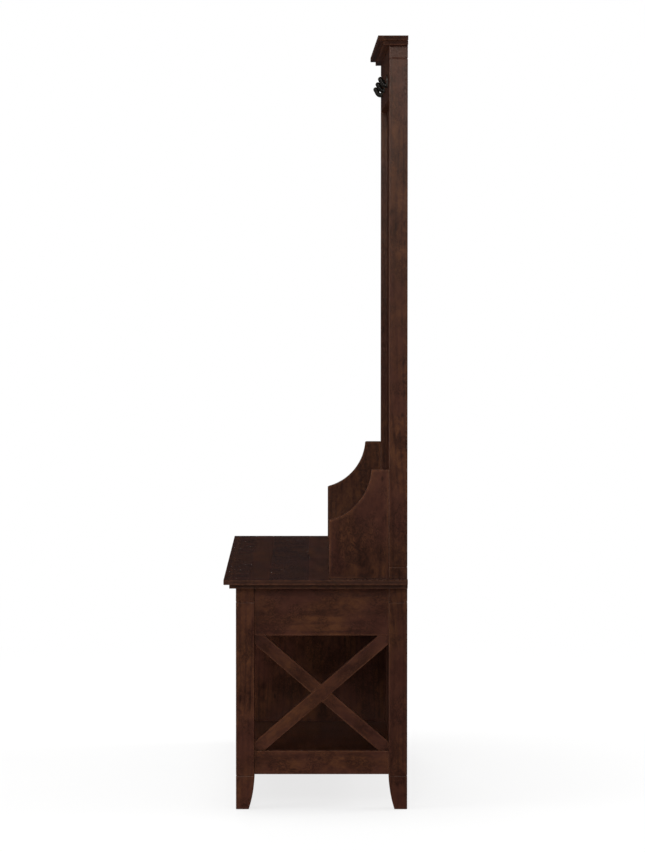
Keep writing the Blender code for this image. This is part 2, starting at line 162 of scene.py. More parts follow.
# The log that a piece is sawn from
LOG_REACH = 4
HEART_AWAY = (0.05, 0.09)
HEART_SHIFT = 0.012
LOG_FLARE = (0.012, 0.030)
RING_PHASE = (620, 800)  # radians per metre of radius

# Floor and white surroundings
WHITE = (1, 1, 1)
FLOOR_RADIUS = 60
SHEET_RADIUS = 70
WHITE_FROM = 0.5
WHITE_AT = 2.4
FLOOR_WHITENESS = 0.74
WORLD_STRENGTH = 0.56

# Camera
LENS = 140.6
SHIFT = (0.0081, -0.1017)
CAMERA_AWAY = 7.190  # from the outer face of the right-hand legs
EYE_HEIGHT = 1.283
CAMERA_TILT = math.radians(2.075)


# Shader arithmetic and finishes


class Wire:
    """A value that varies over a surface. Arithmetic on it adds Math nodes to its finish."""

    def __init__(self, finish, socket):
        self.finish = finish
        self.socket = socket

    def math(self, operation, *others):
        return self.finish.math(operation, self, *others)

    def __add__(self, other):
        return self.math("ADD", other)

    def __sub__(self, other):
        return self.math("SUBTRACT", other)

    def __rsub__(self, other):
        return self.finish.math("SUBTRACT", other, self)

    def __mul__(self, other):
        return self.math("MULTIPLY", other)

    def __truediv__(self, other):
        return self.math("DIVIDE", other)

    def __pow__(self, other):
        return self.math("POWER", other)

    __radd__ = __add__
    __rmul__ = __mul__


class Finish:
    """A material and its nodes."""

    def __init__(self, name):
        self.material = bpy.data.materials.new(name)
        self.material.use_nodes = True
        self.tree = self.material.node_tree
        self.shader = self.tree.nodes["Principled BSDF"]

    def plug(self, socket, value):
        if isinstance(value, Wire):
            self.tree.links.new(value.socket, socket)
        else:
            socket.default_value = value

    def node(self, kind, settings=None, sockets=None, out=None):
        """Any node: its settings first, then a value or a link for each socket, by name or by place."""
        node = self.tree.nodes.new(f"ShaderNode{kind}")
        for name, value in (settings or {}).items():
            if name == "stops":
                self.set_stops(node.color_ramp, value)
            else:
                setattr(node, name, value)
        shown = [socket for socket in node.inputs if socket.enabled]
        by_name = {socket.name: socket for socket in reversed(shown)}
        for key, value in (sockets or {}).items():
            self.plug(shown[key] if isinstance(key, int) else by_name[key], value)
        outputs = [socket for socket in node.outputs if socket.enabled]
        return Wire(self, next(s for s in outputs if out in (None, s.name)))

    def set_stops(self, ramp, stops):
        while len(ramp.elements) < len(stops):
            ramp.elements.new(1)
        for element, (place, colour) in zip(ramp.elements, stops):
            element.position = place
            element.color = (*colour, 1)

    def base(self, **values):
        """Values and links of the Principled shader, named with _ for a space."""
        for name, value in values.items():
            self.plug(self.shader.inputs[name.replace("_", " ")], value)

    def math(self, operation, *values):
        return self.node("Math", {"operation": operation}, dict(enumerate(values)))

    def vector_math(self, operation, *values, out="Vector"):
        return self.node("VectorMath", {"operation": operation}, dict(enumerate(values)), out)

    def axis(self, vector, name):
        return self.node("SeparateXYZ", {}, {"Vector": vector}, name)

    def where(self, scale=(1, 1, 1), turn=(0, 0, 0), move=(0, 0, 0)):
        spot = self.node("TexCoord", out="Object")
        return self.node("Mapping", {}, {"Vector": spot, "Scale": scale, "Rotation": turn, "Location": move})

    def stretch(self, vector, scale):
        return self.vector_math("MULTIPLY", vector, scale)

    def noise(self, vector, scale=1.0, detail=2.0, roughness=0.5, warp=0.0, out="Fac"):
        sockets = {"Vector": vector, "Scale": scale, "Detail": detail}
        sockets.update({"Roughness": roughness, "Distortion": warp})
        return self.node("TexNoise", {}, sockets, out)

    def fade(self, value, low, high, to_low=0.0, to_high=1.0):
        """A smooth step from low to high."""
        sockets = {"Value": value, "From Min": low, "From Max": high}
        sockets.update({"To Min": to_low, "To Max": to_high})
        return self.node("MapRange", {"interpolation_type": "SMOOTHSTEP"}, sockets)

    def mix(self, amount, first, second):
        return self.node("Mix", {"data_type": "RGBA"}, {"Factor": amount, "A": first, "B": second})

    def rub(self):
        """How near a point is to an eased edge, 1 on it and 0 away from it."""
        return self.node("Attribute", {"attribute_name": "rub"}, out="Fac")

    def bump(self, height, distance, strength):
        sockets = {"Strength": strength, "Distance": distance, "Height": height}
        self.base(Normal=self.node("Bump", {}, sockets))

    def white_glow(self):
        return self.node("Emission", {}, {"Color": opaque(WHITE), "Strength": 1.0})

    def show(self, shader):
        self.plug(self.tree.nodes["Material Output"].inputs["Surface"], shader)


def opaque(colour, gain=1.0):
    return (*[part * gain for part in colour], 1)


def grain_of(finish, node, along, pith, draw):
    """Places along and across the grain, measured from the heart of the log."""
    turn = along.rotation_difference(X)
    low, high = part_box(node)
    start = Vector((draw.uniform(-LOG_REACH, LOG_REACH), 0, 0))
    heart = start - (turn @ pith.normalized()) * draw.uniform(*HEART_AWAY)
    heart += Vector((0, draw.uniform(-HEART_SHIFT, HEART_SHIFT), draw.uniform(-HEART_SHIFT, HEART_SHIFT)))
    return finish.where(turn=turn.to_euler(), move=heart - turn @ ((low + high) / 2))


def growth_lines(finish, swept, draw):
    """The line of each year's growth round the heart, 0 to 1."""
    lengthwise, side, height = [finish.axis(swept, name) for name in "XYZ"]
    radius = (side * side + height * height) ** 0.5 + lengthwise * draw.uniform(*LOG_FLARE)
    phase = radius * draw.uniform(*RING_PHASE)
    return finish.fade(phase.math("SINE"), 0.05, 1.0)


def gum_marks(finish, grain, swept):
    """Thin curls and specks of dark gum, 0 to 1."""
    off = finish.noise(finish.stretch(swept, GUM), detail=4, roughness=0.65, warp=2.2) - 0.5
    curl = 1 - finish.fade(off.math("ABSOLUTE"), 0.010, 0.062)
    sparse = finish.fade(finish.noise(grain, scale=17, detail=1), 0.46, 0.58)
    cells = {"Vector": finish.stretch(swept, SPECK), "Scale": 1.0}
    spot = finish.node("TexVoronoi", {}, cells, "Distance")
    kept = finish.node("TexVoronoi", {}, cells, "Color")
    speck = (1 - finish.fade(spot, 0.08, 0.26)) * finish.fade(kept, 0.66, 0.70)
    return (curl * sparse * 0.80).math("MAXIMUM", speck * 0.7)


def end_grain(finish, along):
    """1 on the ends of a board, where its fibres are cut across."""
    facing = finish.node("TexCoord", out="Normal")
    facing = finish.vector_math("DOT_PRODUCT", facing, along, out="Value")
    return finish.fade(facing.math("ABSOLUTE"), 0.80, 0.95)


def strips_of(finish, node, width):
    """The shade of each strip that a wide board is glued from, front to back, 0 to 1."""
    ahead = finish.axis(finish.where(), "Y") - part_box(node)[0].y
    number = (ahead / width).math("FLOOR")
    shade = finish.node("TexWhiteNoise", {"noise_dimensions": "1D"}, {"W": number}, "Value")
    return finish.fade(shade, 0.25, 0.75)


def cherry(name, node, along, pith, tone=1.0, dull=0.0, stave=0.0, wear=1.0):
    """Dark cherry for one piece. along is its grain, and pith the way to the heart of the log.

    tone lightens or darkens the wood, on some pieces as painted light or shade, and dull roughens it. The
    last argument sets how far its edges are lightened, partly by rubbing and partly as a painted highlight.
    stave is the width of the strips that a wide board is glued from, or 0 for a board in one piece.
    """
    finish = Finish(name)
    draw = random.Random(name)
    grain = grain_of(finish, node, along, pith, draw)
    wander = finish.noise(finish.stretch(grain, WANDER), detail=3, out="Color")
    wander = finish.stretch(finish.vector_math("SUBTRACT", wander, (0.5, 0.5, 0.5)), SWEEP)
    swept = finish.vector_math("ADD", grain, wander)

    line = growth_lines(finish, swept, draw)
    broad = finish.noise(finish.stretch(grain, BROAD), detail=4, roughness=0.6, warp=0.9)
    mottle = finish.noise(finish.stretch(swept, MOTTLE), detail=4, roughness=0.65, warp=1.6)
    patch = finish.noise(finish.stretch(grain, PATCH), detail=2)
    fibre = finish.noise(finish.stretch(swept, FIBRE), detail=3, roughness=0.6)
    pores = finish.fade(finish.noise(finish.stretch(swept, PORE), detail=1), 0.58, 0.70)
    marks = gum_marks(finish, grain, swept)
    end = end_grain(finish, along)
    # Eased edges lighten in patches towards the lightest colour: partly rubbing, partly a painted highlight
    rub_and_glint_patches = finish.fade(finish.noise(grain, scale=140, detail=2), 0.30, 0.70)
    lightened_edges = finish.rub() * (0.10 + 0.30 * rub_and_glint_patches) * wear
    dark = opaque(DEEP, tone)

    figure = broad * 0.38 + mottle * 0.42 + fibre * 0.14 + (1 - line) * 0.06
    stops = ((0.36, DEEP), (0.49, BROWN), (0.62, AMBER))
    stops = [(stop, [part * tone for part in colour]) for stop, colour in stops]
    colour = finish.node("ValToRGB", {"stops": stops}, {"Fac": figure}, "Color")
    rosy = finish.fade(patch, 0.40, 0.66) * 0.75
    colour = finish.mix(rosy, colour, finish.mix(figure, dark, opaque(ROSE, tone)))
    colour = finish.mix(marks, colour, dark)
    colour = finish.mix(pores * 0.35, colour, dark)
    rough = WOOD_ROUGH + dull + 0.10 * (broad - 0.5) + pores * 0.10 + end * 0.55 - lightened_edges * 0.04
    if stave:
        strips = strips_of(finish, node, stave)
        colour = finish.mix(strips * 0.40, colour, opaque(DEEP, 1.5 * tone))
        rough = rough - strips * 0.05
    colour = finish.mix(end * 0.45, colour, dark)
    # Lightens the eased edges: rubbing and a painted highlight
    colour = finish.mix(lightened_edges, colour, opaque(RUBBED_AND_HIGHLIT, tone))

    finish.base(Base_Color=colour, Roughness=rough, Specular_IOR_Level=WOOD_SHEEN, Specular_Tint=HAZE)
    relief = fibre * 0.5 - pores * 0.9 - line * 0.25 - marks * 0.3
    finish.bump(relief, 0.00012, 0.55)
    return finish.material


def metal(name, colour, roughness, metallic, bright, cast=0.0):
    """A metal with uneven polish, bright where its edges are rubbed. cast deepens its grit."""
    finish = Finish(name)
    spot = finish.where()
    cloud = finish.noise(spot, scale=160, detail=4)
    grit = finish.noise(spot, scale=1900, detail=3, roughness=0.65)
    lightened_edges = finish.rub() * finish.fade(cloud, 0.25, 0.60)
    base = finish.mix(finish.fade(cloud, 0.30, 0.70), opaque(colour, 0.75), opaque(colour, 1.30))
    base = finish.mix(lightened_edges, base, opaque(bright))
    rough = roughness + 0.12 * (grit - 0.5) + 0.14 * (cloud - 0.5) - 0.10 * lightened_edges
    finish.base(Base_Color=base, Roughness=rough, Metallic=metallic)
    finish.bump(grit * (0.4 + cast) + cloud, 0.00006 + cast * 0.0001, 0.5)
    return finish.material


def beech(name):
    """Pale compressed dowel with flutes of darker grain."""
    finish = Finish(name)
    grain = finish.noise(finish.where(scale=(900, 900, 60)), detail=3)
    fleck = finish.noise(finish.where(scale=(2400, 2400, 300)), detail=1)
    colour = finish.mix(grain, (0.42, 0.27, 0.15, 1), (0.66, 0.48, 0.30, 1))
    colour = finish.mix(finish.fade(fleck, 0.60, 0.70) * 0.5, colour, (0.26, 0.15, 0.08, 1))
    finish.base(Base_Color=colour, Roughness=0.55 + 0.2 * grain, Specular_IOR_Level=0.30)
    finish.bump(grain, 0.00008, 0.5)
    return finish.material


def nylon(name):
    """Matt grey moulded plastic, a little scuffed."""
    finish = Finish(name)
    spot = finish.where()
    cloud = finish.noise(spot, scale=220, detail=4)
    grit = finish.noise(spot, scale=2600, detail=2)
    colour = finish.mix(cloud, (0.15, 0.145, 0.14, 1), (0.27, 0.26, 0.245, 1))
    finish.base(Base_Color=colour, Roughness=0.48 + 0.2 * grit, Specular_IOR_Level=0.40)
    finish.bump(grit, 0.00005, 0.5)
    return finish.material


# Mesh work


def loft(bm, rings, rubs=None):
    """A closed body through rings of equal numbers of points. rubs gives each point's rub."""
    rub = bm.verts.layers.float.get("rub") or bm.verts.layers.float.new("rub")
    rows = []
    for i, ring in enumerate(rings):
        row = [bm.verts.new(point) for point in ring]
        for vert, amount in zip(row, rubs[i] if rubs else [0] * len(row)):
            vert[rub] = amount
        rows.append(row)
    count = len(rows[0])
    for low, high in zip(rows, rows[1:]):
        for i in range(count):
            j = (i + 1) % count
            bm.faces.new((low[i], low[j], high[j], high[i]))
    bm.faces.new(rows[0][::-1])
    bm.faces.new(rows[-1])
    bmesh.ops.recalc_face_normals(bm, faces=bm.faces)


def prism(outline, axis, low, high):
    """A body between two planes of an axis. The outline holds the other two coordinates, in order."""
    bm = bmesh.new()
    others = [i for i in range(3) if i != axis]
    rings = []
    for at in (low, high):
        ring = []
        for point in outline:
            corner = [at] * 3
            corner[others[0]], corner[others[1]] = point
            ring.append(corner)
        rings.append(ring)
    loft(bm, rings)
    return bm


def block(node):
    """A CAD board's own box."""
    low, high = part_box(node)
    outline = [(low.x, low.y), (high.x, low.y), (high.x, high.y), (low.x, high.y)]
    return prism(outline, 2, low.z, high.z)


def outline_of(node, axis):
    """The outline of a CAD solid's face at the high end of an axis, in order, without points on straights."""
    mesh = frame["nodes"][node].data
    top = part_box(node)[1][axis]
    others = [i for i in range(3) if i != axis]
    steps = {}
    for face in mesh.polygons:
        points = [mesh.vertices[i].co for i in face.vertices]
        if all(abs(point[axis] - top) < NEAR for point in points):
            keys = [tuple(round(point[i], 6) for i in others) for point in points]
            for start, end in zip(keys, keys[1:] + keys[:1]):
                steps.setdefault(start, set()).add(end)
    rim = {a: b for a, ends in steps.items() for b in ends if a not in steps.get(b, ())}
    walk = [min(rim)]
    while rim[walk[-1]] != walk[0]:
        walk.append(rim[walk[-1]])
    turns = []
    for before, here, after in zip(walk[-1:] + walk, walk, walk[1:] + walk[:1]):
        into, out = Vector(here) - Vector(before), Vector(after) - Vector(here)
        if abs(into.normalized().cross(out.normalized())) > 1e-3:
            turns.append(here)
    return turns


def shaped(node, axis):
    """A CAD solid's outline between its two planes."""
    low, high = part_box(node)
    return prism(outline_of(node, axis), axis, low[axis], high[axis])


def on_plane(face, ways):
    return any(face.normal.dot(way) > 0.99 for way in ways)


def ease(bm, radius, butts, only=None, steps=EASE_STEPS):
    """Rounds the sharp edges, apart from those of faces that butt against a neighbour.

    only is a test for the edges to round, where not all are.
    """
    eased = bm.faces.layers.int.get("eased") or bm.faces.layers.int.new("eased")
    bm.normal_update()
    edges = []
    for edge in bm.edges:
        if edge.calc_face_angle(0) > SHARP and not any(on_plane(f, butts) for f in edge.link_faces):
            if only is None or only(edge):
                edges.append(edge)
    shape = {"offset_type": "OFFSET", "profile": 0.5, "affect": "EDGES", "clamp_overlap": True}
    made = bmesh.ops.bevel(bm, geom=edges, offset=radius, segments=steps, **shape)
    for face in made["faces"]:
        face[eased] = 1


def smooth_runs(bm):
    """The faces in runs that meet at less than a sharp angle, in the same order every time."""
    taken = set()
    runs = []
    for first in bm.faces:
        if first in taken:
            continue
        taken.add(first)
        run = [first]
        for face in run:  # which grows meanwhile
            for edge in face.edges:
                for other in edge.link_faces:
                    if other not in taken and edge.calc_face_angle(0) < SHARP:
                        taken.add(other)
                        run.append(other)
        runs.append(run)
    return runs


def border(bm, width):
    """A narrow border inside each smooth run of faces, across which the rub of the edges will fade."""
    bm.normal_update()
    for run in smooth_runs(bm):
        bmesh.ops.inset_region(bm, faces=run, thickness=width, use_boundary=True, use_even_offset=True)


def rub_edges(bm):
    """Full rub on what was eased, and none elsewhere."""
    eased = bm.faces.layers.int["eased"]
    rub = bm.verts.layers.float["rub"]
    for vert in bm.verts:
        vert[rub] = 1.0 if any(face[eased] for face in vert.link_faces) else 0.0


def add_piece(name, bm, material, stands_for, sharp=SHARP):
    """The finished piece, which rides with the CAD and stands for a node."""
    mesh = bpy.data.meshes.new(name)
    bm.to_mesh(mesh)
    bm.free()
    mesh.shade_smooth()
    mesh.set_sharp_from_angle(angle=sharp)
    mesh.materials.append(material)
    item = bpy.data.objects.new(name, mesh)
    bpy.context.scene.collection.objects.link(item)
    weigh = item.modifiers.new("even_faces", "WEIGHTED_NORMAL")
    weigh.keep_sharp = True
    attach(item, BODY)
    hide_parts(stands_for)
    return item


def wooden(node, bm, along, pith, butts=(), radius=EASE, softer=None, **wood):
    """An eased piece of cherry, kept inside its CAD box.

    softer is a test for edges that get a wider easing first, with that easing's radius. wood goes to cherry.
    """
    border(bm, (softer[1] if softer else radius) + BORDER)
    if softer:
        ease(bm, softer[1], butts, softer[0], SOFT_STEPS)
    ease(bm, radius, butts)
    rub_edges(bm)
    low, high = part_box(node)
    for vert in bm.verts:
        for i in range(3):
            vert.co[i] = min(high[i], max(low[i], vert.co[i]))
    return add_piece(f"{node}_eased", bm, cherry(f"cherry_{node}", node, along, pith, **wood), node)


# Legs and posts


def groove(z):
    """Levels of a V groove with soft lips: (height, inset all round, rub, taper of the inner faces)."""
    whole = GROOVE_HALF + tuple((-share, depth, rub) for share, depth, rub in reversed(GROOVE_HALF))
    return [(z + share * GROOVE_HEIGHT, depth * GROOVE_DEPTH, rub, 0) for share, depth, rub in whole]


def polar(center, radius, angle):
    return center[0] + radius * math.cos(angle), center[1] + radius * math.sin(angle)


def post_ring(x, y, z, inward, slot):
    """A square section with round corners, and a slot in its inner X face where slot gives its Y span."""
    points, rubs = [], []

    def add(spot, rub):
        points.append((*spot, z))
        rubs.append(rub)

    quarter = math.pi / 2
    for i, (u, v) in enumerate(((0, 0), (1, 0), (1, 1), (0, 1))):
        center = (x[u] + (POST_EASE, -POST_EASE)[u], y[v] + (POST_EASE, -POST_EASE)[v])
        start = math.pi + i * quarter
        end = start + quarter
        add(polar(polar(center, POST_EASE, start), BORDER, start - quarter), 0)
        for k in range(CORNER_STEPS + 1):
            add(polar(center, POST_EASE, start + k * quarter / CORNER_STEPS), 1)
        add(polar(polar(center, POST_EASE, end), BORDER, end + quarter), 0)
        if slot and (u, v) == ((1, 0) if inward > 0 else (0, 1)):
            face = x[1] if inward > 0 else x[0]
            bottom = face - inward * SLOT_DEPTH
            first, last = slot if inward > 0 else slot[::-1]
            for spot in ((face, first), (bottom, first), (bottom, last), (face, last)):
                add(spot, 0)
    return points, rubs


def post(node, levels, inward, slot=None, tone=1.0):
    """A square upright through its levels: (height, inset, rub, taper of the inner faces)."""
    low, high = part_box(node)
    rings, rubs = [], []
    for z, inset, rub, taper in levels:
        x = [low.x + inset, high.x - inset]
        y = [low.y + inset, high.y - inset]
        x[1 if inward[0] > 0 else 0] -= taper * inward[0]
        y[1 if inward[1] > 0 else 0] -= taper * inward[1]
        ring, around = post_ring(x, y, z, inward[0], slot)
        rings.append(ring)
        rubs.append([max(amount, rub) for amount in around])
    bm = bmesh.new()
    loft(bm, rings, rubs)
    pith = Vector((inward[0], inward[1] * 1.4, 0))
    material = cherry(f"cherry_{node}", node, Z, pith, tone, wear=0.5)
    return add_piece(f"{node}_eased", bm, material, node, POST_SHARP)


def foot_levels(z):
    """Levels of a foot: its eased sole, then the curve of its inner faces up to the groove."""
    low_groove = FOOT_HEIGHT - FOOT_GROOVE_DROP
    levels = [(z + rise, inset, 1, FOOT_TAPER) for rise, inset in SOLE]
    for i in range(FOOT_STEPS + 1):
        share = i / FOOT_STEPS
        height = z + SOLE_TOP + share * (FOOT_HEIGHT - z - SOLE_TOP)
        if height < low_groove - GROOVE_HEIGHT:
            levels.append((height, 0, 0.5 if i == 0 else 0, FOOT_TAPER * (1 - share) ** 2))
    return levels + groove(low_groove)


def legs():
    seat_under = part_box("seat_lower_board")[0].z
    for row, inward_y, tone in (("front", 1, 0.98), ("rear", -1, 0.86)):
        for side, sign in SIDES:
            node = f"{row}_leg_{side}"
            low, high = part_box(node)
            levels = foot_levels(low.z) + groove(seat_under - LEG_GROOVE_DROP) + [(high.z, 0, 0, 0)]
            post(node, levels, (-sign, inward_y), tone=tone)


def posts():
    panel_low, panel_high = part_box("hutch_panel")
    slot = (panel_low.y - SLOT_PLAY, panel_high.y + SLOT_PLAY)
    seat_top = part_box("seat_board")[1].z
    crown_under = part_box("crown_lower_board")[0].z
    for side, sign in SIDES:
        node = f"post_{side}"
        low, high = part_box(node)
        levels = [(low.z, 0, 0, 0)] + groove(seat_top + POST_GROOVE_RISE)
        levels += groove(crown_under - POST_GROOVE_DROP) + [(high.z, 0, 0, 0)]
        post(node, levels, (-sign, -1), slot, tone=1.08)


# Boards


def rails():
    for height in ("top", "bottom"):
        for side, sign in SIDES:
            node = f"side_{height}_rail_{side}"
            wooden(node, block(node), Y, -sign * X, (Y, -Y))
        for row, way in (("front", 1), ("rear", -1)):
            node = f"{row}_{height}_rail"
            wooden(node, block(node), X, way * Y, (X, -X))
    for node in ("hook_rail", "lower_rail"):
        wooden(node, block(node), X, Y, (X, -X, Y))


def braces():
    for side, sign in SIDES:
        low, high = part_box(f"whole_brace_{side}")
        rise = Vector((0, high.y - low.y, high.z - low.z)).normalized()
        fall = Vector((0, rise.y, -rise.z))
        corner = (Y, -Y, Z, -Z)
        crossing = (rise.cross(X), X.cross(rise))
        for part, along, butts, tone in (
            ("whole", rise, corner, 1.0),
            ("upper", fall, corner + crossing, 0.9),
            ("lower", fall, corner + crossing, 0.9),
        ):
            node = f"{part}_brace_{side}"
            # The braces' eased edges are lightened more: rubbing and a painted highlight
            wooden(node, shaped(node, 0), along, -sign * X, butts, wear=1.4, tone=tone)


def bench_inside():
    # The shelf and the divider are lightened, 1.15, as painted light inside the cubbies
    wooden("shelf", shaped("shelf", 2), X, -Z, (X, -X, Y, -Y), THIN_EASE, tone=1.15)
    wooden("center_divider", block("center_divider"), Z, X, (Z, -Z, Y), THIN_EASE, tone=1.15)
    back = block("bench_back_panel")
    wooden("bench_back_panel", back, X, Y, (X, -X, Z), THIN_EASE, tone=0.85, dull=0.08)
    wooden("center_foot", block("center_foot"), Z, X, (Z,))
    for side, sign in SIDES:
        node = f"shelf_cleat_{side}"
        wooden(node, block(node), Y, -Z, (Y, -Y, Z, sign * X))


def edges_at(height):
    """A test for edges that lie at a height."""

    def test(edge):
        return all(abs(vert.co.z - height) < NEAR for vert in edge.verts)

    return test


def top_boards():
    # The seat's lower board is darker, 0.75, as painted shade under the seat's edge; the crown's lower board
    # is a little lighter
    for name, tone, low_tone, stave in (("seat", 1.0, 0.75, STAVE), ("crown", 0.85, 1.1, 0)):
        for node, butts in ((f"{name}_board", (-Y,)), (f"{name}_front_lip", (Y,))):
            under = edges_at(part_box(node)[0].z)
            wooden(node, block(node), X, -Z, butts, softer=(under, SOFT_EASE), tone=tone, stave=stave)
        node = f"{name}_lower_board"
        wooden(node, block(node), X, -Z, (Z,), tone=low_tone)


def hutch_panel():
    wooden("hutch_panel", block("hutch_panel"), Z, Y, (X, -X, Z, -Z), THIN_EASE)


def scoop_ends(node):
    """A test for the two convex corners at the ends of a wing's scoop."""
    low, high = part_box(node)

    def test(edge):
        start, end = [vert.co for vert in edge.verts]
        level = abs(start.y - end.y) < NEAR and abs(start.z - end.z) < NEAR
        at_top = abs(start.z - high.z) < NEAR and start.y < high.y - NEAR
        at_front = abs(start.y - low.y) < NEAR and start.z > low.z + NEAR
        return level and (at_top or at_front)

    return test


def wings():
    for side, sign in SIDES:
        node = f"wing_{side}"
        softer = (scoop_ends(node), NOSE)
        # The wings' eased edges are lightened most: rubbing and a painted highlight along the curved edge
        wooden(node, shaped(node, 0), Z, -sign * X, (-Z, Y), WING_EASE, softer, tone=1.11, wear=1.9)


# Hooks and other hardware


def arm_stations():
    """The arm of a hook: (distance out from the rail, height over its root, slope, radius)."""
    stations = [(PLATE * 0.3, 0, 0), (ARM_REACH, 0, 0)]
    for i in range(1, ARM_STEPS + 1):
        slope = ARM_ANGLE * i / ARM_STEPS
        out = ARM_REACH + ARM_BEND * math.sin(slope)
        stations.append((out, ARM_BEND * (1 - math.cos(slope)), slope))
    out, height, slope = stations[-1]
    for share in (0.5, 1.0):
        step = ARM_RISE * share
        stations.append((out + step * math.cos(slope), height + step * math.sin(slope), slope))
    path = [0]
    for before, here in zip(stations, stations[1:]):
        path.append(path[-1] + math.dist(before[:2], here[:2]))
    swell = (ARM_TIP_RADIUS - ARM_ROOT_RADIUS) / path[-1]
    sized = [(*station, ARM_ROOT_RADIUS + swell * at) for station, at in zip(stations, path)]
    out, height, slope, radius = sized[-1]
    for share in TIP_STEPS:
        angle = share * math.pi / 2
        step = radius * TIP_FULLNESS * math.sin(angle)
        tip = (out + step * math.cos(slope), height + step * math.sin(slope), slope)
        sized.append((*tip, radius * math.cos(angle)))
    return sized


def plate_rings(x, low, high, face):
    """A plate with round ends against a face of the rail, eased in front."""
    half = (high.x - low.x) / 2
    outline = []
    for center_z, start in ((high.z - half, 0), (low.z + half, math.pi)):
        for i in range(PLATE_STEPS + 1):
            angle = start + math.pi * i / PLATE_STEPS
            outline.append((math.cos(angle), center_z, math.sin(angle)))
    front = face - PLATE
    levels = (
        (face, PLATE_BACK_EASE),
        (face - PLATE_BACK_EASE, 0),
        (front + PLATE_EASE, 0),
        (front + PLATE_EASE * 0.3, PLATE_EASE * 0.35),
        (front, PLATE_EASE),
    )
    rings = []
    for y, inset in levels:
        reach = half - inset
        rings.append([(x + reach * u, y, z + reach * v) for u, z, v in outline])
    return rings


def arm_rings(x, root, face):
    """The arm of a hook, round in section."""
    angles = [math.tau * i / ARM_SIDES for i in range(ARM_SIDES)]
    rings = []
    for out, height, slope, radius in arm_stations():
        up = Vector((0, math.sin(slope), math.cos(slope)))
        center = Vector((x, face - out, root + height))
        rings.append([center + radius * (math.cos(angle) * X + math.sin(angle) * up) for angle in angles])
    return rings


def hook_body(node):
    low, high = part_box(node)
    x = (low.x + high.x) / 2
    bm = bmesh.new()
    loft(bm, plate_rings(x, low, high, high.y))
    loft(bm, arm_rings(x, low.z + ARM_ROOT_RISE, high.y))
    return bm


def cast(item):
    """Melts a body's shells into one skin, softens it, and rubs its convex parts."""
    remesh = item.modifiers.new("skin", "REMESH")
    remesh.mode = "VOXEL"
    remesh.voxel_size = SKIN
    graph = bpy.context.evaluated_depsgraph_get()
    bm = bmesh.new()
    bm.from_object(item, graph)
    item.modifiers.remove(remesh)
    every_way = {"use_axis_x": True, "use_axis_y": True, "use_axis_z": True}
    for _ in range(SKIN_ROUNDS):
        bmesh.ops.smooth_vert(bm, verts=bm.verts, factor=0.5, **every_way)
    bm.normal_update()
    rub = bm.verts.layers.float.get("rub") or bm.verts.layers.float.new("rub")
    for vert in bm.verts:
        around = [edge.other_vert(vert).co for edge in vert.link_edges]
        middle = sum(around, Vector()) / len(around)
        curve = (vert.co - middle).dot(vert.normal) / SKIN
        vert[rub] = min(1, max(0, curve * SKIN_RUB - SKIN_RUB_FROM))
    bm.to_mesh(item.data)
    bm.free()
    item.data.shade_smooth()


def hooks():
    bronze = metal("bronze", (0.012, 0.010, 0.008), 0.33, 0.55, (0.11, 0.085, 0.060), 0.5)
    for side in ("left", "center", "right"):
        node = f"coat_hook_{side}"
        cast(add_piece(f"{node}_cast", hook_body(node), bronze, node))
        for height in ("low", "high"):
            screw(f"hook_screw_{side}_{height}", bronze)


def cross_recess(node, x, front, z, head):
    """A cutter for a cross recess, turned as the screw was left."""
    bm = bmesh.new()
    lean = random.Random(node).uniform(0, math.pi / 2)
    arm, half = head * RECESS_ARM, head * RECESS_HALF
    corners = ((-arm, -half), (arm, -half), (arm, half), (-arm, half))
    for turn in (lean, lean + math.pi / 2):
        along, across = (math.cos(turn), math.sin(turn)), (-math.sin(turn), math.cos(turn))
        rows = []
        for y, share in ((front - RECESS_LEAD, 1.0), (front + head * RECESS_DEPTH, RECESS_FOOT)):
            row = []
            for u, v in corners:
                reach = share * u
                row.append((x + reach * along[0] + v * across[0], y, z + reach * along[1] + v * across[1]))
            rows.append(row)
        loft(bm, rows)
    return bm


def carve(item, bm):
    """Cuts a cutter out of a piece."""
    mesh = bpy.data.meshes.new(f"cutter_{item.name}")
    bm.to_mesh(mesh)
    bm.free()
    cutter = bpy.data.objects.new(mesh.name, mesh)
    bpy.context.scene.collection.objects.link(cutter)
    cut = item.modifiers.new("recess", "BOOLEAN")
    cut.operation = "DIFFERENCE"
    cut.solver = "EXACT"
    cut.object = cutter
    cut.use_self = True
    graph = bpy.context.evaluated_depsgraph_get()
    done = bpy.data.meshes.new_from_object(item.evaluated_get(graph))
    item.modifiers.clear()
    item.data = done
    bpy.data.objects.remove(cutter)


def screw(node, material):
    """A screw with a domed head and a cross recess."""
    low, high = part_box(node)
    x, z = (low.x + high.x) / 2, (low.z + high.z) / 2
    head = (high.x - low.x) / 2
    thick = head / 2
    profile = [(head * reach, low.y + drop * thick) for reach, drop in HEAD_DOME]
    profile += [(SHANK, low.y + thick), (SHANK, high.y - 2 * SHANK), (SHANK * 0.2, high.y)]
    turns = [math.tau * i / SCREW_SIDES for i in range(SCREW_SIDES)]
    rings = [[(x + r * math.cos(turn), y, z + r * math.sin(turn)) for turn in turns] for r, y in profile]
    rubs = [[1.0 if i < 4 else 0.0] * SCREW_SIDES for i in range(len(rings))]
    bm = bmesh.new()
    loft(bm, rings, rubs)
    item = add_piece(f"{node}_domed", bm, material, node)
    carve(item, cross_recess(node, x, low.y, z, head))


def plain_hardware():
    """Hardware that keeps its CAD shape, with a finish of its own."""
    finishes = {
        "zinc": metal("zinc", (0.52, 0.52, 0.50), 0.34, 1.0, (0.72, 0.72, 0.70)),
        "beech": beech("beech"),
        "glide": nylon("glide"),
    }
    for node, item in frame["nodes"].items():
        finish = finishes.get(SLOT_OF[node])
        if finish:
            for slot in item.material_slots:
                slot.material = finish


# Floor, light and camera


